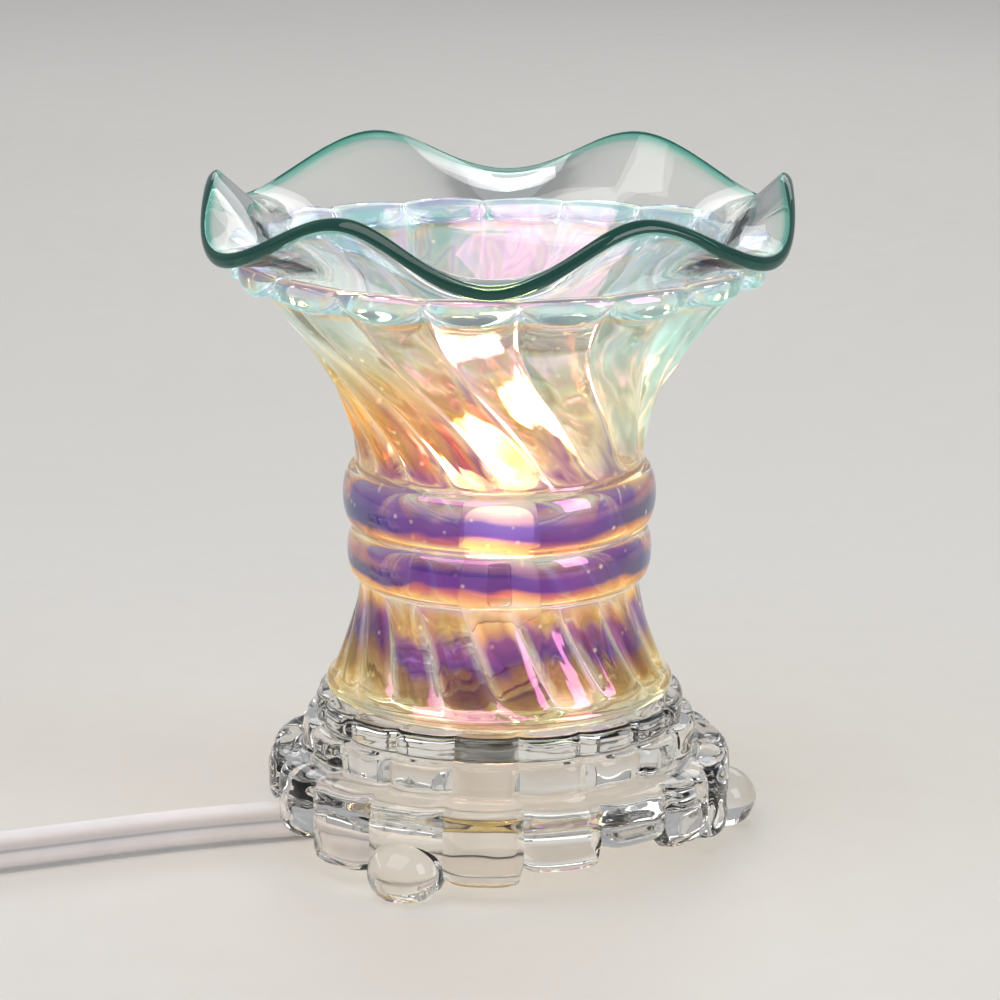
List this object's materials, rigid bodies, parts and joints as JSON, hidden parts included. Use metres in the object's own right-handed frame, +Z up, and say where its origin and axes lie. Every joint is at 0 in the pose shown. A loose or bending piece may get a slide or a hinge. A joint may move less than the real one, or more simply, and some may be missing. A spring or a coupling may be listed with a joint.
{
  "type": "essential oil burner",
  "caption": "Electric glass oil burner with a ruffled dish resting on a swirled lustre shade, a block glass base, a push-in lamp and a flat lead with a dimmer and plug",
  "frame": {"origin": "on the table, under the middle of the base", "axes": "+Z up, -Y the front that faces the viewer, +X to the viewer's right"},
  "size_m": [0.3236, 0.1197, 0.1278],
  "materials": {
    "clear_glass": "thick clear pressed glass",
    "lustre_glass": "pressed glass with an iridescent gold, purple and teal lustre",
    "dish_glass": "clear glass, green at the edge",
    "bulb_glass": "clear lamp glass",
    "white_ceramic": "white glazed ceramic",
    "white_metal": "white painted steel",
    "steel": "plated steel",
    "brass": "bright brass",
    "tungsten": "dull wire",
    "black_rubber": "matt black",
    "clear_vinyl": "milky clear vinyl",
    "white_plastic": "white moulded plastic",
    "grey_plastic": "pale grey moulded plastic"
  },
  "bodies": {
    "base": {"glass_base": "clear_glass", "rubber_washer": "black_rubber", "lower_washer": "steel", "upper_washer": "steel", "lower_nut": "brass", "upper_nut": "brass", "threaded_nipple": "steel", "holder_cup": "white_metal", "holder_body": "white_ceramic", "holder_screw": "steel", "contact_left": "brass", "contact_right": "brass", "lead_left": "clear_vinyl", "lead_right": "clear_vinyl", "cord_elbow": "white_plastic", "cord_near": "clear_vinyl", "dimmer_lower_shell": "grey_plastic", "dimmer_upper_shell": "white_plastic", "dimmer_screw_near": "steel", "dimmer_screw_far": "steel", "cord_coil": "clear_vinyl", "coil_tie": "black_rubber", "cord_tail": "clear_vinyl", "plug_body": "white_plastic", "plug_blade_left": "brass", "plug_blade_right": "brass"},
    "shade": {"glass_shade": "lustre_glass"},
    "dish": {"oil_dish": "dish_glass"},
    "lamp": {"bulb_envelope": "bulb_glass", "bulb_pinch": "bulb_glass", "bulb_pin_left": "steel", "bulb_pin_right": "steel", "filament": "tungsten", "filament_support_left": "tungsten", "filament_support_right": "tungsten"},
    "wheel": {"dimmer_wheel": "white_plastic"}
  },
  "joints": [
    {"name": "shade_lift", "type": "slide", "parent": "base", "child": "shade", "axis": [0, 0, 1], "range_m": [0, 0.08]},
    {"name": "dish_lift", "type": "slide", "parent": "shade", "child": "dish", "axis": [0, 0, 1], "range_m": [0, 0.05]},
    {"name": "lamp_pull", "type": "slide", "parent": "base", "child": "lamp", "axis": [0, 0, 1], "range_m": [0, 0.007]},
    {"name": "dimmer_turn", "type": "hinge", "parent": "base", "child": "wheel", "pos_m": [-0.1585, -0.0315, 0.0114], "axis": [0, 1, 0], "range_deg": [-150, 150]}
  ]
}
